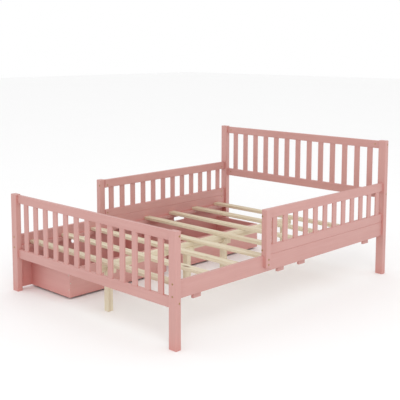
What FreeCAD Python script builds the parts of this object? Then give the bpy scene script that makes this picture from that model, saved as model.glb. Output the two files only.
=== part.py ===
import FreeCAD, Part
import math
import os

# A full-size children's platform bed: slatted headboard and footboard, two side rails,
# guard rails along the head half of both sides, a slatted base on a legged centre beam,
# and two drawers on wheels that pull out from under the left side.
# Frame: +Y towards the headboard, +X the bed's right side, +Z up, millimetres.
# The origin is on the floor at the middle of the bed. Left is the -X side.

Vector = FreeCAD.Vector
os.makedirs("parts", exist_ok=True)

# ---- Overall size ----
WIDTH = 1470.0                  # across the corner posts
LENGTH = 1980.0                 # over the corner posts
POST_ACROSS = 54.0              # corner post section along X
POST_ALONG = 36.0               # corner post section along Y
FOOT_POST_HEIGHT = 617.0
HEAD_POST_HEIGHT = 906.0
BOARD = 22.0                    # thickness of every rail

# ---- End boards ----
FOOT_TOP_RAIL = (561.0, 612.0)          # heights of each rail's lower and upper edge
FOOT_BOTTOM_RAIL = (212.0, 268.0)
HEAD_TOP_RAIL = (850.0, 900.0)
HEAD_LOWER_RAIL = (516.0, 570.0)
END_SLATS = 13
END_SLAT_PITCH = 100.5
SLAT_WIDTH = 40.0
SLAT_THICKNESS = 11.0
SLAT_SET_BACK = 3.0             # from a rail's outer or inner show face
TENON_WIDTH = 32.0
TENON_THICKNESS = 6.0
TENON_LENGTH = 8.0

# ---- Side rails, ledges and blocks ----
SIDE_RAIL_INSIDE = 698.0        # distance of the rail's inner face from the middle
SIDE_RAIL_HEIGHT = (264.0, 357.0)
LEDGE_ACROSS = 20.0
LEDGE_HEIGHT = (265.0, 290.0)
BLOCK_ACROSS = 16.0
BLOCK_LENGTH = 58.0
BLOCK_HEIGHT = (234.0, 265.0)
BLOCK_MIDDLES = (-800.0, -102.0, 102.0, 800.0)

# ---- Guard rails ----
GUARD_POST_OUTSIDE = 741.0
GUARD_POST_INSIDE = 703.0
GUARD_POST_ALONG = (-287.0, -244.5)
GUARD_POST_HEIGHT = (290.0, 623.0)
GUARD_TOP_RAIL = (566.0, 621.0)
GUARD_LOWER_RAIL = (357.0, 412.0)
GUARD_SLATS = 12
GUARD_FIRST_SLAT = -183.0
GUARD_SLAT_PITCH = 98.6
GUARD_SHIFT = {-1: -17.0, 1: 0.0}       # the left guard starts a little nearer the foot

# ---- Slatted base ----
BASE_SLATS = 8
BASE_SLAT_PITCH = 244.5
BASE_SLAT_WIDTH = 55.0
BASE_SLAT_THICKNESS = 20.0
BASE_SLAT_END_GAP = 1.0
BEAM_ACROSS = 36.0
BEAM_DEPTH = 45.0
BEAM_OVERHANG = 28.0            # beyond the middle of the first and last slat
LEG_MIDDLES = (-818.0, -173.0, 173.0, 818.0)
CLEAT = (18.0, 60.0, 34.0)      # thickness, length and height of a leg's cleat

# ---- Drawers ----
DRAWER_MIDDLE = 477.5           # middle of each drawer front from the middle of the bed
FRONT_LENGTH = 945.0
FRONT_THICKNESS = 14.5
FRONT_HEIGHT = (12.0, 285.0)
FRONT_RAIL_GAP = 0.5
SLOT_LENGTH = 125.0
SLOT_HEIGHT = 36.0
SLOT_MIDDLE = 240.0
BOX_LENGTH = 810.0
BOX_OFFSET = 21.5               # the box sits this much towards the head from its front
BOX_BACK = 317.0                # distance of the box's back face from the middle
BOX_HEIGHT = (12.0, 190.0)
PANEL = 15.0
BOTTOM_THICKNESS = 5.0
BOTTOM_LEVEL = 32.0
GROOVE_DEPTH = 5.0

# ---- Wheels ----
WHEEL_RADIUS = 12.25
WHEEL_WIDTH = 9.0
WHEEL_FLOOR_GAP = 0.25
WHEEL_OFFSET = 360.0            # from the middle of the drawer front, both ways
WHEEL_ROWS = (682.0, 345.0)     # distances of the wheel rows from the middle of the bed
AXLE_RADIUS = 2.0
AXLE_CLEARANCE = 0.08
CHEEK_GAP = 0.75
CHEEK_THICKNESS = 2.5
CHEEK_LENGTH = 16.0
CHEEK_BOTTOM = 6.5
PLATE_LENGTH = 24.0             # the fork's plate under the drawer bottom
TREAD_EASE = 1.5
WEB_DEPTH = 1.5                 # hollow in each face of a wheel
RIM_WALL = 3.0
HUB_WALL = 2.0

# ---- Fasteners ----
END_BOLT_HEIGHTS = {"foot": (245.0, 590.0), "head": (546.0, 877.0)}
SIDE_BOLT_HEIGHTS = (280.0, 345.0)
GUARD_BOLT_HEIGHTS = (390.0, 584.0)
GUARD_FOOT_BOLT_HEIGHTS = (308.0, 337.0)
GUARD_FOOT_BOLT_LENGTH = 39.0
HEAD_RADIUS = 5.5
HEAD_CHAMFER = 0.6
HEAD_PROUD = 1.0
HEAD_SUNK = 2.5
SHANK_RADIUS = 3.0
SOCKET_ACROSS = 5.0
SOCKET_DEPTH = 2.4
NUT_RADIUS = 5.0
NUT_LENGTH = 16.0
NUT_SEAM = 45.0                 # turn of a nut's seam line about its axis
SHANK_SEAM = 90.0               # turn of a shank's seam line about its axis
NUT_FROM_POST = 35.0
BOLT_PAST_NUT = 8.0
SCREW_HEAD_RADIUS = 4.0
SCREW_HEAD_DEPTH = 3.0
SCREW_RADIUS = 1.8
RECESS_REACH = 2.2              # the cross in a screw's head
RECESS_HALF_WIDTH = 0.5
RECESS_DEPTH = 1.6
LEDGE_SCREWS = 7
LEDGE_SCREW_PITCH = 300.0
LEDGE_SCREW_LENGTH = 34.0
SLAT_SCREW_LENGTH = 38.0
BACK_SCREW_HEIGHTS = (60.0, 150.0)
BACK_SCREW_LENGTH = 40.0
SIDE_SCREW_HEIGHT = 101.0
SIDE_SCREW_LENGTH = 30.0
OVERCUT = 5.0                   # how far a cutting block runs past the face it opens
TINY = 1e-6

# ---- Eased edges ----
POST_EASE = 3.0
RAIL_EASE = 3.0
SLAT_EASE = 2.5
BASE_EASE = 4.0
SMALL_EASE = 1.5

# ---- Places worked out from the sizes ----
HALF_WIDTH = WIDTH / 2
HALF_LENGTH = LENGTH / 2
POST_INSIDE = HALF_WIDTH - POST_ACROSS
RAIL_END = HALF_LENGTH - POST_ALONG
SIDE_RAIL_OUTSIDE = SIDE_RAIL_INSIDE + BOARD
FOOT_BOARD_Y = (-RAIL_END - BOARD, -RAIL_END)
HEAD_BOARD_Y = (HALF_LENGTH - BOARD, HALF_LENGTH)
BASE_TOP = LEDGE_HEIGHT[1] + BASE_SLAT_THICKNESS
SIDES = {"left": -1, "right": 1}
X_AXIS = Vector(1, 0, 0)
Y_AXIS = Vector(0, 1, 0)
Z_AXIS = Vector(0, 0, 1)


# ---- Shared helpers ----
def save(name, solids):
    """Write one node: one solid, or a group of separate solids."""
    group = [piece for solid in solids for piece in solid.Solids]
    shape = group[0] if len(group) == 1 else Part.makeCompound(group)
    shape.exportStep("parts/" + name + ".step")


def around(middle, size):
    """The low and high end of a stretch centred on a point."""
    return (middle - size / 2, middle + size / 2)


def span(first, second):
    """The low and high end of a stretch whose ends come in either order."""
    return (min(first, second), max(first, second))


def box(x, y, z):
    """A plain block from its stretch along each axis."""
    corner = Vector(x[0], y[0], z[0])
    return Part.makeBox(x[1] - x[0], y[1] - y[0], z[1] - z[0], corner)


def edges_along(shape, axis):
    """The straight edges that run along an axis."""
    found = []
    for edge in shape.Edges:
        run = edge.Vertexes[-1].Point.sub(edge.Vertexes[0].Point)
        if run.Length > 0 and abs(abs(run.normalize().dot(axis)) - 1) < TINY:
            found.append(edge)
    return found


def board(x, y, z, axis, ease):
    """A block whose long edges, along one axis, are rounded over."""
    blank = box(x, y, z)
    return blank.makeFillet(ease, edges_along(blank, axis))


def rod(radius, length, place, direction, seam_turn=0):
    """A cylinder whose seam line is turned about its axis, clear of the holes that cross it."""
    shape = Part.makeCylinder(radius, length, place, direction)
    shape.rotate(place, direction, seam_turn)
    return shape


def bolt(place, direction, length):
    """A socket-head bolt: its head stands just proud of the face that it enters."""
    top = place - direction * HEAD_PROUD
    head = Part.makeCylinder(HEAD_RADIUS, HEAD_PROUD + HEAD_SUNK, top, direction)
    head = head.makeChamfer(HEAD_CHAMFER, [edge for edge in head.Edges if near_plane(edge, top, direction)])
    shank = rod(SHANK_RADIUS, length, place, direction, SHANK_SEAM)
    side = Z_AXIS if abs(direction.z) < 0.5 else X_AXIS
    across = direction.cross(side)
    reach = SOCKET_ACROSS / math.sqrt(3)
    corners = []
    for step in range(7):
        turn = math.radians(60 * step)
        corners.append(top + side * (reach * math.cos(turn)) + across * (reach * math.sin(turn)))
    socket = Part.Face(Part.makePolygon(corners)).extrude(direction * SOCKET_DEPTH)
    return head.fuse(shank).cut(socket)


def near_plane(edge, point, direction):
    """True when an edge lies in the plane through a point, square to a direction."""
    return all(abs((edge.valueAt(value) - point).dot(direction)) < TINY for value in edge.ParameterRange)


def bolt_void(place, direction, length):
    """The hole that a bolt fills, cut right out through the face that it enters."""
    start = place - direction * (HEAD_PROUD + 1)
    head = Part.makeCylinder(HEAD_RADIUS, HEAD_PROUD + 1 + HEAD_SUNK, start, direction)
    return head.fuse(rod(SHANK_RADIUS, length, place, direction, SHANK_SEAM))


def screw(place, direction, length):
    """A countersunk screw with its head flush with the face."""
    head = Part.makeCone(SCREW_HEAD_RADIUS, SCREW_RADIUS, SCREW_HEAD_DEPTH, place, direction)
    shank = Part.makeCylinder(SCREW_RADIUS, length, place, direction)
    slot_side = Y_AXIS if abs(direction.y) < 0.5 else X_AXIS
    across = direction.cross(slot_side)
    recess = None
    for arm in (slot_side, across):
        other = direction.cross(arm)
        corners = [place + arm * (RECESS_REACH * a) + other * (RECESS_HALF_WIDTH * b)
                   for a, b in ((-1, -1), (1, -1), (1, 1), (-1, 1), (-1, -1))]
        cut = Part.Face(Part.makePolygon(corners)).extrude(direction * RECESS_DEPTH)
        recess = cut if recess is None else recess.fuse(cut)
    return head.fuse(shank).cut(recess)


def screw_void(place, direction, length):
    """The hole that a screw fills."""
    head = Part.makeCone(SCREW_HEAD_RADIUS, SCREW_RADIUS, SCREW_HEAD_DEPTH, place, direction)
    return head.fuse(Part.makeCylinder(SCREW_RADIUS, length, place, direction))


def barrel_nut(place, direction):
    """A round cross nut, its end flush with the board's face."""
    return rod(NUT_RADIUS, NUT_LENGTH, place, direction, NUT_SEAM)


def upright_slat(x, y, low, high):
    """A slat that stands between two rails, with a stub tenon in each."""
    blade = board(x, y, (low, high), Z_AXIS, SLAT_EASE)
    return blade.fuse(slat_tenons(x, y, low, high))


def slat_tenons(x, y, low, high):
    """Both stub tenons of an upright slat."""
    middle = Vector((x[0] + x[1]) / 2, (y[0] + y[1]) / 2, 0)
    wide_x = x[1] - x[0] > y[1] - y[0]
    sizes = (TENON_WIDTH, TENON_THICKNESS) if wide_x else (TENON_THICKNESS, TENON_WIDTH)
    across = (around(middle.x, sizes[0]), around(middle.y, sizes[1]))
    lower = box(across[0], across[1], (low - TENON_LENGTH, low))
    upper = box(across[0], across[1], (high, high + TENON_LENGTH))
    return Part.makeCompound([lower, upper])


def guard_post_along(side):
    """Where one side's guard post lies along the bed."""
    return tuple(end + GUARD_SHIFT[side] for end in GUARD_POST_ALONG)


# ---- Fastener places ----
def frame_fasteners():
    """Every bolt and barrel nut of the frame, as (place, direction, length) and (place, direction)."""
    end_bolts, side_bolts, guard_bolts, nuts = [], [], [], []
    for side in SIDES.values():
        inward = X_AXIS * -side
        reach = POST_ACROSS + NUT_FROM_POST + BOLT_PAST_NUT
        nut_x = side * (POST_INSIDE - NUT_FROM_POST)
        for y_range, heights, nut_face, nut_way in (
                (FOOT_BOARD_Y, END_BOLT_HEIGHTS["foot"], FOOT_BOARD_Y[1], -Y_AXIS),
                (HEAD_BOARD_Y, END_BOLT_HEIGHTS["head"], HEAD_BOARD_Y[0], Y_AXIS)):
            middle = sum(y_range) / 2
            for height in heights:
                end_bolts.append((Vector(side * HALF_WIDTH, middle, height), inward, reach))
                nuts.append((Vector(nut_x, nut_face, height), nut_way))
        rail_x = side * (SIDE_RAIL_INSIDE + BOARD / 2)
        outward = X_AXIS * side
        for end in (-1, 1):
            along = Y_AXIS * -end
            reach = POST_ALONG + NUT_FROM_POST + BOLT_PAST_NUT
            for height in SIDE_BOLT_HEIGHTS:
                side_bolts.append((Vector(rail_x, end * HALF_LENGTH, height), along, reach))
                nut_y = end * (RAIL_END - NUT_FROM_POST)
                nuts.append((Vector(side * SIDE_RAIL_INSIDE, nut_y, height), outward))
        post_y = guard_post_along(side)
        for height in GUARD_BOLT_HEIGHTS:
            start = Vector(rail_x, HALF_LENGTH, height)
            guard_bolts.append((start, -Y_AXIS, POST_ALONG + NUT_FROM_POST + BOLT_PAST_NUT))
            nuts.append((Vector(side * SIDE_RAIL_INSIDE, RAIL_END - NUT_FROM_POST, height), outward))
            start = Vector(rail_x, post_y[0], height)
            thick = post_y[1] - post_y[0]
            nut_step = NUT_FROM_POST / 2
            guard_bolts.append((start, Y_AXIS, thick + nut_step + BOLT_PAST_NUT))
            nuts.append((Vector(side * SIDE_RAIL_INSIDE, post_y[1] + nut_step, height), outward))
        for height in GUARD_FOOT_BOLT_HEIGHTS:
            start = Vector(side * GUARD_POST_OUTSIDE, sum(post_y) / 2, height)
            guard_bolts.append((start, inward, GUARD_FOOT_BOLT_LENGTH))
    return end_bolts, side_bolts, guard_bolts, nuts


END_BOLTS, SIDE_BOLTS, GUARD_BOLTS, NUTS = frame_fasteners()
BOLT_VOIDS = [bolt_void(*spot) for spot in END_BOLTS + SIDE_BOLTS + GUARD_BOLTS]
NUT_SOLIDS = [barrel_nut(*spot) for spot in NUTS]


def drilled(shape, extra=()):
    """Cut the hole of every fastener that reaches into a shape."""
    for void in list(BOLT_VOIDS) + NUT_SOLIDS + list(extra):
        if shape.BoundBox.intersect(void.BoundBox):
            shape = shape.cut(void)
    return shape


# ---- Posts ----
def corner_post(side, end, height):
    """A corner post, eased on every edge but those at the floor."""
    x = span(side * POST_INSIDE, side * HALF_WIDTH)
    y = span(end * RAIL_END, end * HALF_LENGTH)
    blank = box(x, y, (0, height))
    above = [edge for edge in blank.Edges if edge.BoundBox.ZMax > 1]
    return drilled(blank.makeFillet(POST_EASE, above))


def make_posts():
    for name, side in SIDES.items():
        save("foot_post_" + name, [corner_post(side, -1, FOOT_POST_HEIGHT)])
        save("head_post_" + name, [corner_post(side, 1, HEAD_POST_HEIGHT)])


# ---- Head and foot boards ----
def make_end_board(prefix, y, rails, lower_name, slat_low, slat_high):
    """Two rails between the posts, and the row of slats that stands between them."""
    lower_rail, top_rail = rails
    across = (-POST_INSIDE, POST_INSIDE)
    slat_y = (y[0] + SLAT_SET_BACK, y[0] + SLAT_SET_BACK + SLAT_THICKNESS)
    first = -END_SLAT_PITCH * (END_SLATS - 1) / 2
    slats, tenons = [], []
    for number in range(END_SLATS):
        x = around(first + number * END_SLAT_PITCH, SLAT_WIDTH)
        slats.append(upright_slat(x, slat_y, slat_low, slat_high))
        tenons.append(slat_tenons(x, slat_y, slat_low, slat_high))
    for name, heights in ((prefix + "_" + lower_name, lower_rail), (prefix + "_top_rail", top_rail)):
        rail = board(across, y, heights, X_AXIS, RAIL_EASE)
        save(name, [drilled(rail.cut(Part.makeCompound(tenons)))])
    save(prefix + "_slats", slats)


# ---- Side rails ----
def ledge_screw_spots(side):
    """Screws that hold a ledge to its side rail."""
    places = []
    first = -LEDGE_SCREW_PITCH * (LEDGE_SCREWS - 1) / 2
    for number in range(LEDGE_SCREWS):
        y = first + number * LEDGE_SCREW_PITCH
        start = Vector(side * (SIDE_RAIL_INSIDE - LEDGE_ACROSS), y, sum(LEDGE_HEIGHT) / 2)
        places.append((start, X_AXIS * side, LEDGE_SCREW_LENGTH))
    return places


def slat_screw_spots():
    """One screw at each end of every base slat, down into the ledge."""
    places = []
    for y in base_slat_middles():
        for side in SIDES.values():
            x = side * (SIDE_RAIL_INSIDE - LEDGE_ACROSS / 2)
            places.append((Vector(x, y, BASE_TOP), -Z_AXIS, SLAT_SCREW_LENGTH))
    return places


def base_slat_middles():
    first = -BASE_SLAT_PITCH * (BASE_SLATS - 1) / 2
    return [first + number * BASE_SLAT_PITCH for number in range(BASE_SLATS)]


def make_side(name, side):
    """A side rail and the ledge that carries the base slats."""
    rail_x = span(side * SIDE_RAIL_INSIDE, side * SIDE_RAIL_OUTSIDE)
    inner = SIDE_RAIL_INSIDE - LEDGE_ACROSS
    ledge_x = span(side * inner, side * SIDE_RAIL_INSIDE)
    along = (-RAIL_END, RAIL_END)
    holes = [screw_void(*spot) for spot in ledge_screw_spots(side) + slat_screw_spots()]
    rail = board(rail_x, along, SIDE_RAIL_HEIGHT, Y_AXIS, RAIL_EASE)
    save("side_rail_" + name, [drilled(rail, holes)])
    ledge = board(ledge_x, along, LEDGE_HEIGHT, Y_AXIS, SMALL_EASE)
    save("slat_ledge_" + name, [drilled(ledge, holes)])


def make_rail_blocks():
    """The small blocks under the ledges, inside both side rails."""
    blocks = []
    for side in SIDES.values():
        x = span(side * (SIDE_RAIL_INSIDE - BLOCK_ACROSS), side * SIDE_RAIL_INSIDE)
        for middle in BLOCK_MIDDLES:
            blocks.append(board(x, around(middle, BLOCK_LENGTH), BLOCK_HEIGHT, Z_AXIS, SMALL_EASE))
    save("rail_blocks", blocks)


# ---- Guard rails ----
def make_guard(name, side):
    """A guard rail: a notched post on the side rail, two rails to the head post, and slats."""
    post_x = span(side * GUARD_POST_INSIDE, side * GUARD_POST_OUTSIDE)
    post_y = guard_post_along(side)
    blank = box(post_x, post_y, GUARD_POST_HEIGHT)
    eased = blank.makeFillet(POST_EASE, blank.Edges)
    seat_x = span(side * (GUARD_POST_INSIDE - OVERCUT), side * SIDE_RAIL_OUTSIDE)
    wide = (post_y[0] - OVERCUT, post_y[1] + OVERCUT)
    notch = box(seat_x, wide, (GUARD_POST_HEIGHT[0] - OVERCUT, SIDE_RAIL_HEIGHT[1]))
    save("guard_post_" + name, [drilled(eased.cut(notch))])

    rail_x = span(side * SIDE_RAIL_INSIDE, side * SIDE_RAIL_OUTSIDE)
    along = (post_y[1], RAIL_END)
    slat_face = SIDE_RAIL_OUTSIDE - SLAT_SET_BACK
    slat_x = span(side * (slat_face - SLAT_THICKNESS), side * slat_face)
    low, high = GUARD_LOWER_RAIL[1], GUARD_TOP_RAIL[0]
    slats, tenons = [], []
    for number in range(GUARD_SLATS):
        y = around(GUARD_FIRST_SLAT + GUARD_SHIFT[side] + number * GUARD_SLAT_PITCH, SLAT_WIDTH)
        slats.append(upright_slat(slat_x, y, low, high))
        tenons.append(slat_tenons(slat_x, y, low, high))
    for level, heights in (("lower", GUARD_LOWER_RAIL), ("top", GUARD_TOP_RAIL)):
        rail = board(rail_x, along, heights, Y_AXIS, RAIL_EASE)
        rail = drilled(rail.cut(Part.makeCompound(tenons)))
        save("guard_" + level + "_rail_" + name, [rail])
    save("guard_slats_" + name, slats)


# ---- Slatted base ----
def make_base():
    """The base slats, the beam under their middles, and the beam's legs with their cleats."""
    reach = SIDE_RAIL_INSIDE - BASE_SLAT_END_GAP
    heights = (LEDGE_HEIGHT[1], BASE_TOP)
    middles = base_slat_middles()
    holes = [screw_void(*spot) for spot in slat_screw_spots()]
    slats = [board((-reach, reach), around(middle, BASE_SLAT_WIDTH), heights, X_AXIS, BASE_EASE)
             for middle in middles]
    save("mattress_slats", [drilled(slat, holes) for slat in slats])

    beam_top = LEDGE_HEIGHT[1]
    beam_bottom = beam_top - BEAM_DEPTH
    beam_y = (middles[0] - BEAM_OVERHANG, middles[-1] + BEAM_OVERHANG)
    across = around(0, BEAM_ACROSS)
    save("centre_beam", [board(across, beam_y, (beam_bottom, beam_top), Y_AXIS, SMALL_EASE)])
    for number, middle in enumerate(LEG_MIDDLES, 1):
        y = around(middle, BEAM_ACROSS)
        save("centre_leg_" + str(number), [board(across, y, (0, beam_bottom), Z_AXIS, SMALL_EASE)])
    cleats = []
    thick, length, height = CLEAT
    for middle in LEG_MIDDLES:
        for side in SIDES.values():
            x = span(side * BEAM_ACROSS / 2, side * (BEAM_ACROSS / 2 + thick))
            cleats.append(board(x, around(middle, length), around(beam_bottom, height), X_AXIS, SMALL_EASE))
    save("leg_cleats", cleats)


# ---- Drawers ----
def finger_slot(middle):
    """The slot for the hand in a drawer front: straight sides and round ends."""
    depth = (-HALF_WIDTH - OVERCUT, -SIDE_RAIL_OUTSIDE + OVERCUT)
    radius = SLOT_HEIGHT / 2
    straight = SLOT_LENGTH - SLOT_HEIGHT
    slot = box(depth, around(middle, straight), around(SLOT_MIDDLE, SLOT_HEIGHT))
    for way in (-1, 1):
        centre = Vector(depth[0], middle + way * straight / 2, SLOT_MIDDLE)
        slot = slot.fuse(Part.makeCylinder(radius, depth[1] - depth[0], centre, X_AXIS))
    return slot.removeSplitter()


def drawer_front(middle):
    """The drawer's overlay front with its finger slot, eased on the outside."""
    outer = -HALF_WIDTH
    x = (outer, outer + FRONT_THICKNESS)
    panel = box(x, around(middle, FRONT_LENGTH), FRONT_HEIGHT)
    panel = panel.makeFillet(SLAT_EASE, [edge for edge in panel.Edges if edge.BoundBox.XMin < outer + 1])
    panel = panel.cut(finger_slot(middle))
    rims = []
    for edge in panel.Edges:
        bounds = edge.BoundBox
        flat = bounds.XLength < BOTTOM_THICKNESS
        in_length = bounds.YMin > middle - SLOT_LENGTH and bounds.YMax < middle + SLOT_LENGTH
        in_height = bounds.ZMin > SLOT_MIDDLE - SLOT_HEIGHT and bounds.ZMax < SLOT_MIDDLE + SLOT_HEIGHT
        if flat and in_length and in_height:
            rims.append(edge)
    return panel.makeFillet(SLAT_EASE, rims)


def drawer_screw_spots(box_y):
    """Screws through the drawer's sides into its back, and one in each side's back end."""
    back_x = -BOX_BACK - PANEL / 2
    spots = []
    for y, way in ((box_y[0], 1), (box_y[1], -1)):
        for height in BACK_SCREW_HEIGHTS:
            spots.append((Vector(back_x, y, height), Y_AXIS * way, BACK_SCREW_LENGTH))
        end_y = y + way * PANEL / 2
        spots.append((Vector(-BOX_BACK, end_y, SIDE_SCREW_HEIGHT), -X_AXIS, SIDE_SCREW_LENGTH))
    return spots


def make_drawer(name, middle):
    """One drawer: overlay front, two sides, back, bottom, screws, and four wheels."""
    front_inner = -HALF_WIDTH + FRONT_THICKNESS
    box_y = around(middle + BOX_OFFSET, BOX_LENGTH)
    side_x = (front_inner, -BOX_BACK)
    back_x = (-BOX_BACK - PANEL, -BOX_BACK)
    bottom_z = (BOTTOM_LEVEL, BOTTOM_LEVEL + BOTTOM_THICKNESS)
    bottom = box((front_inner, back_x[0] + GROOVE_DEPTH),
                 (box_y[0] + PANEL - GROOVE_DEPTH, box_y[1] - PANEL + GROOVE_DEPTH), bottom_z)
    spots = drawer_screw_spots(box_y)
    holes = [bottom] + [screw_void(*spot) for spot in spots]
    save(name + "_front", [drawer_front(middle)])
    for end, y in (("foot", (box_y[0], box_y[0] + PANEL)), ("head", (box_y[1] - PANEL, box_y[1]))):
        panel = board(side_x, y, BOX_HEIGHT, X_AXIS, SMALL_EASE)
        save(name + "_side_" + end, [drilled(panel, holes)])
    back = board(back_x, (box_y[0] + PANEL, box_y[1] - PANEL), BOX_HEIGHT, Y_AXIS, SMALL_EASE)
    save(name + "_back", [drilled(back, holes)])
    save(name + "_bottom", [bottom])
    save(name + "_screws", [screw(*spot) for spot in spots])
    make_wheels(name, middle)


# ---- Wheels ----
def wheel(centre):
    """A small solid wheel with a crowned tread and a recessed web on both faces."""
    low = centre - Y_AXIS * (WHEEL_WIDTH / 2)
    tyre = Part.makeCylinder(WHEEL_RADIUS, WHEEL_WIDTH, low, Y_AXIS)
    rims = [edge for edge in tyre.Edges if edge.Length > WHEEL_RADIUS and edge.Closed]
    tyre = tyre.makeFillet(TREAD_EASE, rims)
    for start, way in ((low, Y_AXIS), (low + Y_AXIS * WHEEL_WIDTH, -Y_AXIS)):
        web = Part.makeCylinder(WHEEL_RADIUS - RIM_WALL, WEB_DEPTH, start, way)
        hub = Part.makeCylinder(AXLE_RADIUS + HUB_WALL, WEB_DEPTH, start, way)
        tyre = tyre.cut(web.cut(hub))
    bore = Part.makeCylinder(AXLE_RADIUS + AXLE_CLEARANCE, WHEEL_WIDTH + 2, low - Y_AXIS, Y_AXIS)
    return tyre.cut(bore)


def housing(centre):
    """A fork under the drawer bottom: a plate and two cheeks that hold the axle."""
    x = around(centre.x, CHEEK_LENGTH)
    inner = WHEEL_WIDTH / 2 + CHEEK_GAP
    outer = inner + CHEEK_THICKNESS
    top = (BOTTOM_LEVEL - CHEEK_THICKNESS, BOTTOM_LEVEL)
    fork = box(around(centre.x, PLATE_LENGTH), (centre.y - outer, centre.y + outer), top)
    for way in (-1, 1):
        y = span(centre.y + way * inner, centre.y + way * outer)
        fork = fork.fuse(box(x, y, (CHEEK_BOTTOM, BOTTOM_LEVEL)))
    hole = Part.makeCylinder(AXLE_RADIUS, 2 * outer + 2, centre - Y_AXIS * (outer + 1), Y_AXIS)
    return fork.removeSplitter().cut(hole)


def axle(centre):
    """The pin through a fork and its wheel."""
    half = WHEEL_WIDTH / 2 + CHEEK_GAP + CHEEK_THICKNESS
    return Part.makeCylinder(AXLE_RADIUS, 2 * half, centre - Y_AXIS * half, Y_AXIS)


def make_wheels(name, middle):
    height = WHEEL_RADIUS + WHEEL_FLOOR_GAP
    centres = [Vector(-row, middle + way * WHEEL_OFFSET, height) for row in WHEEL_ROWS for way in (-1, 1)]
    for number, centre in enumerate(centres, 1):
        save(name + "_wheel_" + str(number), [wheel(centre)])
    save(name + "_wheel_forks", [housing(centre) for centre in centres])
    save(name + "_axles", [axle(centre) for centre in centres])


# ---- Fasteners ----
def make_fasteners():
    save("end_board_bolts", [bolt(*spot) for spot in END_BOLTS])
    save("side_rail_bolts", [bolt(*spot) for spot in SIDE_BOLTS])
    save("guard_rail_bolts", [bolt(*spot) for spot in GUARD_BOLTS])
    threads = Part.makeCompound(BOLT_VOIDS)
    save("barrel_nuts", [nut.cut(threads) for nut in NUT_SOLIDS])
    spots = slat_screw_spots()
    for side in SIDES.values():
        spots += ledge_screw_spots(side)
    save("base_screws", [screw(*spot) for spot in spots])


make_posts()
make_end_board("foot", FOOT_BOARD_Y, (FOOT_BOTTOM_RAIL, FOOT_TOP_RAIL), "bottom_rail",
               FOOT_BOTTOM_RAIL[1], FOOT_TOP_RAIL[0])
make_end_board("head", HEAD_BOARD_Y, (HEAD_LOWER_RAIL, HEAD_TOP_RAIL), "lower_rail",
               HEAD_LOWER_RAIL[1], HEAD_TOP_RAIL[0])
for side_name, side_sign in SIDES.items():
    make_side(side_name, side_sign)
    make_guard(side_name, side_sign)
make_rail_blocks()
make_base()
make_drawer("drawer_foot", -DRAWER_MIDDLE)
make_drawer("drawer_head", DRAWER_MIDDLE)
make_fasteners()
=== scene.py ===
import math

import bpy
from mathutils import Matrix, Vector


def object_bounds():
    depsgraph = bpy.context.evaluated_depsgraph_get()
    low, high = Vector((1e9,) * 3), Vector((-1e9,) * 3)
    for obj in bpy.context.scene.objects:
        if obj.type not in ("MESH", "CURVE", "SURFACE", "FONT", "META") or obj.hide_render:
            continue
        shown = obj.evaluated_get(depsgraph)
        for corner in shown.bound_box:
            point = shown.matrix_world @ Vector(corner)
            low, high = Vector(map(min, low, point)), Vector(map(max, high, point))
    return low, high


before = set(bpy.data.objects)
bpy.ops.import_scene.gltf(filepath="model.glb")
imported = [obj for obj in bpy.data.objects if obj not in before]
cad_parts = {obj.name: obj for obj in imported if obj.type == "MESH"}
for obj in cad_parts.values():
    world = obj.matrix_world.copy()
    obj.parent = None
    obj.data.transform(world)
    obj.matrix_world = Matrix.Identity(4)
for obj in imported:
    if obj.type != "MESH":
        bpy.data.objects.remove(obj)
cad_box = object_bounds()
low, high = cad_box

# A full-size children's bed in pink paint and bare pine. The CAD shapes are shown as they are,
# and this script gives them their materials, a pale floor, soft light and the camera.

# ---- Camera, light and floor ----
# In metres and radians, but the lens is in millimetres, the shift in frame widths and the key's power
# in watts.
CAMERA_PLACE = (3.4999, -3.6946, 1.5294)
CAMERA_TURN = 0.78091                   # from +Y towards -X
CAMERA_TILT = -0.11704                  # below the horizontal
CAMERA_LENS = 71.91
CAMERA_SHIFT = (0.03, -0.15)
KEY_PLACE = (8.4, -7.2, 7.6)
KEY_SIZE = 6.0
KEY_POWER = 330.0
WORLD_STRENGTH = 1.0
FLOOR_SIZE = 60.0

# ---- Rows of boards: the axis a row runs along, the middle of one board, and the pitch ----
X, Y, Z = 0, 1, 2
END_ROW = (X, 0.0, 0.1005)
GUARD_ROW = (Y, -0.1915, 0.0986)        # halfway between the two guards' first boards
BASE_ROW = (Y, 0.12225, 0.2445)

# ---- Colours, linear ----
PINK_PAINT = (0.590, 0.328, 0.298)
PINK_DEEP = (0.535, 0.274, 0.247)
PINK_PAINTED_SHADE = (0.62, 0.215, 0.190)        # painted shade: a deeper red where boards face each other
PINK_WEAR_AND_HIGHLIGHT = (0.70, 0.44, 0.41)          # paler on eased edges: thin paint as wear, and a painted highlight
DRAWER_PINK = (0.665, 0.372, 0.342)
DRAWER_DEEP = (0.615, 0.312, 0.284)
PINE_LIGHT = (0.72, 0.642, 0.485)
PINE_DARK = (0.57, 0.46, 0.30)
PINE_KNOT = (0.22, 0.12, 0.06)
BRONZE = (0.50, 0.33, 0.16)
ZINC = (0.66, 0.62, 0.54)
WHEEL_GREY = (0.36, 0.34, 0.31)
FORK_GREY = (0.17, 0.165, 0.16)
FLOOR_WHITE = (0.955, 0.955, 0.955)
WORLD_WHITE = (1.0, 1.0, 1.0)

# ---- Texture scales, as the nodes take them: larger is finer ----
PAINT_STREAKS = 150.0
PAINT_FIGURE = 26.0
PAINT_CLOUD = 3.5
PAINT_PEEL = 420.0
WEAR_AND_HIGHLIGHT_SPECKS = 60.0
PINE_RINGS = 9.0
PINE_FIBRES = 260.0
PINE_BROAD = 14.0
PINE_KNOTS = 4.2
PLATE_PATCHES = 240.0
PLATE_SCRATCHES = 1900.0
NYLON_MOTTLE = 35.0
NYLON_SPARK = 1400.0
FLOOR_CLOUD = 0.8
GRAIN_STRETCH = 0.045                   # features along the grain for each one across it
KNOT_STRETCH = 0.45

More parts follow.
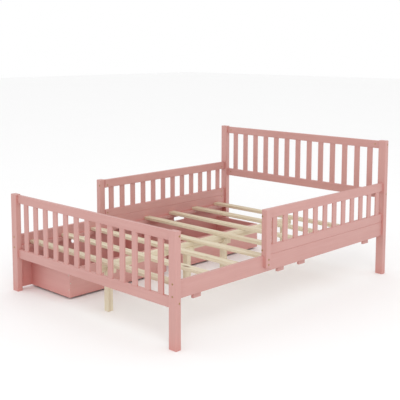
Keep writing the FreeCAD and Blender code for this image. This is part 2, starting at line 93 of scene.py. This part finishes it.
# ---- Reaches and reliefs, in metres ----
EDGE_WIDTH = 0.0022
PAINTED_SHADE_REACH = 0.18
WOOD_RELIEF = 0.0006
FINE_RELIEF = 0.0002

# ---- Ranges, each from one end to the other ----
NOISE_WIDE = (0.3, 0.7)
NOISE_NARROW = (0.35, 0.65)
PAINT_SHADES = (0.38, 0.78)             # summed grain, from all the first tint to all the second
EDGE_FACING = (0.97, 0.80)              # how far face and rounded normals agree, from flat to edge
PAINTED_SHADE_OPENNESS = (0.15, 0.8)             # painted shade, from closed in to open
PAINTED_SHADE_DEPTH = (0.85, 0.0)
WEAR_AND_HIGHLIGHT_DEPTH = (0.25, 0.9)
PAINT_ROUGHNESS = (0.38, 0.50)
LATE_WOOD = (0.55, 0.95)                # the part of a ring's wave that goes dark
LATE_WOOD_DEPTH = (0.0, 0.55)
FIBRE_LINES = (0.45, 0.75)
FIBRE_DEPTH = (0.0, 0.45)
BROAD_DEPTH = (0.55, 1.0)
PINE_ROUGHNESS = (0.52, 0.68)
KNOT_EDGE = (0.025, 0.075)              # outwards from a knot's middle, in cells of its texture
KNOT_DEPTH = (0.85, 0.0)
PLATE_DULLING = (0.35, 0.7)
NYLON_ROUGHNESS = (0.44, 0.58)

# ---- Shares and strengths ----
STREAK_SHARE = 0.45
FIGURE_SHARE = 0.35
CLOUD_SHARE = 0.35
PEEL_SHARE = 0.35
LINE_SHARE = 0.5
PAINT_BOARD_TONE = 0.3                  # how far a board may lean to the darker tint
PINE_BOARD_TONE = 0.35
PAINT_BUMP = 0.22
PINE_BUMP = 0.28
PLATE_BUMP = 0.15
NYLON_BUMP = 0.25
PLATE_ROUGHER = 0.15                    # added to the roughness of a dull patch
NYLON_LIGHTER = 1.25
FLOOR_DIMMER = 0.99


# ---- Node helpers ----
def colour(value):
    """An RGB triple as RGBA; anything else as it is."""
    return (*value, 1.0) if isinstance(value, tuple) and len(value) == 3 else value


class Graph:
    """A material's node tree, with short calls to add and join nodes."""

    def __init__(self, name):
        self.material = bpy.data.materials.new(name)
        self.material.use_nodes = True
        self.tree = self.material.node_tree
        self.tree.nodes.clear()
        self.shader = self.add("ShaderNodeBsdfPrincipled")
        output = self.add("ShaderNodeOutputMaterial")
        self.join(self.shader.outputs["BSDF"], output.inputs["Surface"])

    def add(self, kind, **settings):
        node = self.tree.nodes.new(kind)
        for key, value in settings.items():
            setattr(node, key, value)
        return node

    def join(self, source, target):
        self.tree.links.new(source, target)

    def feed(self, target, value):
        """Set a socket to a constant, or join it to another node's output."""
        if hasattr(value, "is_linked"):
            self.join(value, target)
        else:
            target.default_value = value

    def set(self, socket_name, value):
        """Feed one of the shader's sockets."""
        self.feed(self.shader.inputs[socket_name], value)

    def place(self):
        """Object coordinates, which ride with the body."""
        return self.add("ShaderNodeTexCoord").outputs["Object"]

    def math(self, operation, first, second=0.0, clamp=False):
        node = self.add("ShaderNodeMath", operation=operation, use_clamp=clamp)
        self.feed(node.inputs[0], first)
        self.feed(node.inputs[1], second)
        return node.outputs[0]

    def vector(self, operation, first, second):
        node = self.add("ShaderNodeVectorMath", operation=operation)
        self.feed(node.inputs[0], first)
        self.feed(node.inputs[1], second)
        return node.outputs["Value"] if operation == "DOT_PRODUCT" else node.outputs["Vector"]

    def spread(self, value, low_in, high_in, low_out=0.0, high_out=1.0):
        """Map a value from one range to another, clamped."""
        node = self.add("ShaderNodeMapRange", clamp=True)
        for socket, number in zip(node.inputs, (value, low_in, high_in, low_out, high_out)):
            self.feed(socket, number)
        return node.outputs["Result"]

    def blend(self, amount, first, second):
        """Mix two colours."""
        node = self.add("ShaderNodeMix", data_type="RGBA")
        factor, first_colour, second_colour = node.inputs[0], node.inputs[6], node.inputs[7]
        self.feed(factor, amount)
        self.feed(first_colour, colour(first))
        self.feed(second_colour, colour(second))
        mixed_colour = node.outputs[2]
        return mixed_colour

    def noise(self, place, scale, detail=4.0, rough=0.55, distortion=0.0):
        node = self.add("ShaderNodeTexNoise")
        self.join(place, node.inputs["Vector"])
        node.inputs["Scale"].default_value = scale
        node.inputs["Detail"].default_value = detail
        node.inputs["Roughness"].default_value = rough
        node.inputs["Distortion"].default_value = distortion
        return node.outputs["Fac"]

    def bump(self, height, strength, distance):
        node = self.add("ShaderNodeBump")
        node.inputs["Strength"].default_value = strength
        node.inputs["Distance"].default_value = distance
        self.join(height, node.inputs["Height"])
        self.set("Normal", node.outputs["Normal"])


def stretched(graph, place, axis, factor):
    """A place squeezed along one axis, which draws a texture out along it."""
    squeeze = [1.0, 1.0, 1.0]
    squeeze[axis] = factor
    return graph.vector("MULTIPLY", place, tuple(squeeze))


def board_tone(graph, place, row, most):
    """A chance number from 0 to most for each board of a row."""
    axis, first, pitch = row
    split = graph.add("ShaderNodeSeparateXYZ")
    graph.join(place, split.inputs[0])
    steps = graph.math("DIVIDE", graph.math("SUBTRACT", split.outputs[axis], first), pitch)
    chance = graph.add("ShaderNodeTexWhiteNoise", noise_dimensions="1D")
    graph.join(graph.math("ROUND", steps), chance.inputs["W"])
    return graph.spread(chance.outputs["Value"], 0.0, 1.0, 0.0, most)


def edge_mask(graph):
    """1 on sharp or eased edges, 0 on flat faces."""
    rounded = graph.add("ShaderNodeBevel", samples=6)
    rounded.inputs["Radius"].default_value = EDGE_WIDTH
    flat = graph.add("ShaderNodeNewGeometry").outputs["Normal"]
    facing = graph.vector("DOT_PRODUCT", rounded.outputs["Normal"], flat)
    return graph.spread(facing, *EDGE_FACING)


def painted_shade_mask(graph):
    """Painted shade: highest where other boards stand close, 0 in the open."""
    open_sky = graph.add("ShaderNodeAmbientOcclusion", samples=8)
    open_sky.inputs["Distance"].default_value = PAINTED_SHADE_REACH
    return graph.spread(open_sky.outputs["AO"], *PAINTED_SHADE_OPENNESS, *PAINTED_SHADE_DEPTH)


# ---- Materials ----
def painted_wood(name, grain_axis, row=None, tints=(PINK_PAINT, PINK_DEEP)):
    """Satin pink paint: the grain telegraphs through it, it is paler on the edges as wear and as a
    painted highlight, and it goes deeper red in painted shade where boards stand close.
    """
    graph = Graph(name)
    place = graph.place()
    along = stretched(graph, place, grain_axis, GRAIN_STRETCH)
    streaks = graph.noise(along, PAINT_STREAKS, detail=5.0, rough=0.6)
    figure = graph.noise(along, PAINT_FIGURE, detail=3.0, distortion=0.6)
    cloud = graph.noise(place, PAINT_CLOUD, detail=2.0)
    fine_grain = graph.math("MULTIPLY", streaks, STREAK_SHARE)
    broad_grain = graph.math("MULTIPLY", figure, FIGURE_SHARE)
    shade = graph.math("ADD", fine_grain, broad_grain)
    shade = graph.math("ADD", shade, graph.math("MULTIPLY", cloud, CLOUD_SHARE))
    painted = graph.blend(graph.spread(shade, *PAINT_SHADES), *tints)
    if row:
        painted = graph.blend(board_tone(graph, place, row, PAINT_BOARD_TONE), painted, tints[1])
    # painted shade: the paint goes deeper red where other boards stand close
    painted = graph.blend(painted_shade_mask(graph), painted, PINK_PAINTED_SHADE)
    # eased edges go paler in specks: partly wear, partly a painted highlight
    specks = graph.spread(graph.noise(place, WEAR_AND_HIGHLIGHT_SPECKS, detail=2.0), *NOISE_NARROW, *WEAR_AND_HIGHLIGHT_DEPTH)
    wear_and_highlight = graph.math("MULTIPLY", edge_mask(graph), specks)
    graph.set("Base Color", graph.blend(wear_and_highlight, painted, PINK_WEAR_AND_HIGHLIGHT))
    graph.set("Roughness", graph.spread(figure, *NOISE_WIDE, *PAINT_ROUGHNESS))
    orange_peel = graph.noise(place, PAINT_PEEL, detail=1.0)
    height = graph.math("ADD", streaks, graph.math("MULTIPLY", orange_peel, PEEL_SHARE))
    graph.bump(height, PAINT_BUMP, WOOD_RELIEF)
    return graph.material


def late_wood_lines(graph, along, grain_axis):
    """The dark lines of a pine board, from 0 to 1, and its fine fibres."""
    rings = graph.add("ShaderNodeTexWave", wave_type="RINGS", rings_direction="XYZ"[grain_axis])
    graph.join(along, rings.inputs["Vector"])
    rings.inputs["Scale"].default_value = PINE_RINGS
    rings.inputs["Distortion"].default_value = 7.0
    rings.inputs["Detail"].default_value = 3.0
    rings.inputs["Detail Scale"].default_value = 1.6
    fibres = graph.noise(along, PINE_FIBRES, detail=4.0, rough=0.65)
    broad = graph.noise(along, PINE_BROAD, detail=2.0, distortion=0.8)
    late_wood = graph.spread(rings.outputs["Fac"], *LATE_WOOD, *LATE_WOOD_DEPTH)
    fibre_lines = graph.spread(fibres, *FIBRE_LINES, *FIBRE_DEPTH)
    lines = graph.math("ADD", late_wood, fibre_lines, clamp=True)
    return graph.math("MULTIPLY", lines, graph.spread(broad, *NOISE_WIDE, *BROAD_DEPTH)), fibres


def knot_mask(graph, place, grain_axis):
    """The middles of a few small knots."""
    knots = graph.add("ShaderNodeTexVoronoi", feature="F1")
    knots.inputs["Scale"].default_value = PINE_KNOTS
    graph.join(stretched(graph, place, grain_axis, KNOT_STRETCH), knots.inputs["Vector"])
    return graph.spread(knots.outputs["Distance"], *KNOT_EDGE, *KNOT_DEPTH)


def pine(name, grain_axis, row=None):
    """Planed pine: pale early wood, darker late-wood lines, a few small knots."""
    graph = Graph(name)
    place = graph.place()
    along = stretched(graph, place, grain_axis, GRAIN_STRETCH)
    lines, fibres = late_wood_lines(graph, along, grain_axis)
    wood = graph.blend(lines, PINE_LIGHT, PINE_DARK)
    if row:
        wood = graph.blend(board_tone(graph, place, row, PINE_BOARD_TONE), wood, PINE_DARK)
    graph.set("Base Color", graph.blend(knot_mask(graph, place, grain_axis), wood, PINE_KNOT))
    graph.set("Roughness", graph.spread(fibres, *NOISE_WIDE, *PINE_ROUGHNESS))
    height = graph.math("ADD", fibres, graph.math("MULTIPLY", lines, LINE_SHARE))
    graph.bump(height, PINE_BUMP, WOOD_RELIEF)
    return graph.material


def metal(name, tint, roughness, dull):
    """Plated steel with fine scratches and dull patches."""
    graph = Graph(name)
    place = graph.place()
    patches = graph.noise(place, PLATE_PATCHES, detail=3.0)
    darker = tuple(channel * dull for channel in tint)
    graph.set("Base Color", graph.blend(graph.spread(patches, *PLATE_DULLING), tint, darker))
    graph.set("Metallic", 1.0)
    graph.set("Roughness", graph.spread(patches, *NOISE_WIDE, roughness, roughness + PLATE_ROUGHER))
    graph.bump(graph.noise(place, PLATE_SCRATCHES, detail=2.0), PLATE_BUMP, FINE_RELIEF)
    return graph.material


def plastic(name, tint):
    """Moulded nylon with a fine sparked texture."""
    graph = Graph(name)
    place = graph.place()
    mottle = graph.noise(place, NYLON_MOTTLE, detail=3.0)
    spark = graph.noise(place, NYLON_SPARK, detail=2.0)
    lighter = tuple(channel * NYLON_LIGHTER for channel in tint)
    graph.set("Base Color", graph.blend(graph.spread(mottle, *NOISE_NARROW), tint, lighter))
    graph.set("Roughness", graph.spread(spark, *NOISE_WIDE, *NYLON_ROUGHNESS))
    graph.bump(spark, NYLON_BUMP, FINE_RELIEF)
    return graph.material


def studio_white(name):
    """The pale floor: matt, with the faintest unevenness."""
    graph = Graph(name)
    dimmer = tuple(channel * FLOOR_DIMMER for channel in FLOOR_WHITE)
    cloud = graph.noise(graph.place(), FLOOR_CLOUD, detail=2.0)
    graph.set("Base Color", graph.blend(cloud, FLOOR_WHITE, dimmer))
    graph.set("Roughness", 0.9)
    graph.set("Specular IOR Level", 0.1)
    return graph.material


# ---- Which material each node wears ----
def make_finishes():
    """Pairs of a word in a node's name and its material. The first pair that fits is used."""
    paint = {axis: painted_wood("pink_paint_" + "xyz"[axis], axis) for axis in (X, Y, Z)}
    drawer_tints = (DRAWER_PINK, DRAWER_DEEP)
    drawer_sides = painted_wood("pink_paint_drawer_sides", X, tints=drawer_tints)
    drawers = painted_wood("pink_paint_drawers", Y, tints=drawer_tints)
    bronzed = metal("bronzed_steel", BRONZE, roughness=0.34, dull=0.7)
    zinced = metal("zinc_plate", ZINC, roughness=0.30, dull=0.75)
    return (
        ("wheel_forks", plastic("dark_fork_nylon", FORK_GREY)),
        ("_wheel_", plastic("grey_wheel_nylon", WHEEL_GREY)),
        ("_bolts", bronzed),
        ("barrel_nuts", bronzed),
        ("_screws", zinced),
        ("_axles", zinced),
        ("mattress_slats", pine("pine_slats", X, BASE_ROW)),
        ("centre_beam", pine("pine_beam", Y)),
        ("leg", pine("pine_legs", Z)),
        ("guard_slats", painted_wood("pink_paint_guard_slats", Z, GUARD_ROW)),
        ("_slats", painted_wood("pink_paint_end_slats", Z, END_ROW)),
        ("_post_", paint[Z]),
        ("rail_blocks", paint[Z]),
        ("foot_top_rail", paint[X]),
        ("foot_bottom_rail", paint[X]),
        ("head_top_rail", paint[X]),
        ("head_lower_rail", paint[X]),
        ("_side_foot", drawer_sides),
        ("_side_head", drawer_sides),
        ("drawer_", drawers),
        ("", paint[Y]),
    )


def dress(nodes):
    """Give every CAD node its material."""
    finishes = make_finishes()
    for name, node in nodes.items():
        finish = next(material for word, material in finishes if word in name)
        if not node.material_slots:
            node.data.materials.append(None)
        for slot in node.material_slots:
            slot.material = finish


# ---- Floor, light and camera ----
def add_object(name, data):
    """A new object in the scene."""
    made = bpy.data.objects.new(name, data)
    bpy.context.collection.objects.link(made)
    return made


def make_floor():
    """A wide pale floor under the bed."""
    half = FLOOR_SIZE / 2
    level = low[2]
    corners = [(-half, -half, level), (half, -half, level), (half, half, level), (-half, half, level)]
    mesh = bpy.data.meshes.new("floor")
    mesh.from_pydata(corners, [], [(0, 1, 2, 3)])
    mesh.materials.append(studio_white("floor_white"))
    floor = add_object("floor", mesh)


def make_world():
    """An even white surround, shown without a film-like tone curve."""
    world = bpy.data.worlds.new("studio")
    world.use_nodes = True
    background = world.node_tree.nodes["Background"]
    background.inputs["Color"].default_value = colour(WORLD_WHITE)
    background.inputs["Strength"].default_value = WORLD_STRENGTH
    bpy.context.scene.world = world
    bpy.context.scene.view_settings.view_transform = "Standard"


def make_key_light():
    """One large soft light that points at the middle of the bed."""
    data = bpy.data.lights.new("key", "AREA")
    data.shape = "SQUARE"
    data.size = KEY_SIZE
    data.energy = KEY_POWER
    lamp = add_object("key", data)
    lamp.location = KEY_PLACE
    middle = (Vector(low) + Vector(high)) / 2
    way = middle - Vector(KEY_PLACE)
    lamp.rotation_euler = way.to_track_quat("-Z", "Y").to_euler()


def make_camera():
    """The camera, at the viewing angle of the reference."""
    data = bpy.data.cameras.new("camera")
    data.lens = CAMERA_LENS
    data.shift_x, data.shift_y = CAMERA_SHIFT
    camera = add_object("camera", data)
    camera.location = CAMERA_PLACE
    camera.rotation_euler = (math.pi / 2 + CAMERA_TILT, 0.0, CAMERA_TURN)
    bpy.context.scene.camera = camera


dress(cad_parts)
make_floor()
make_world()
make_key_light()
make_camera()
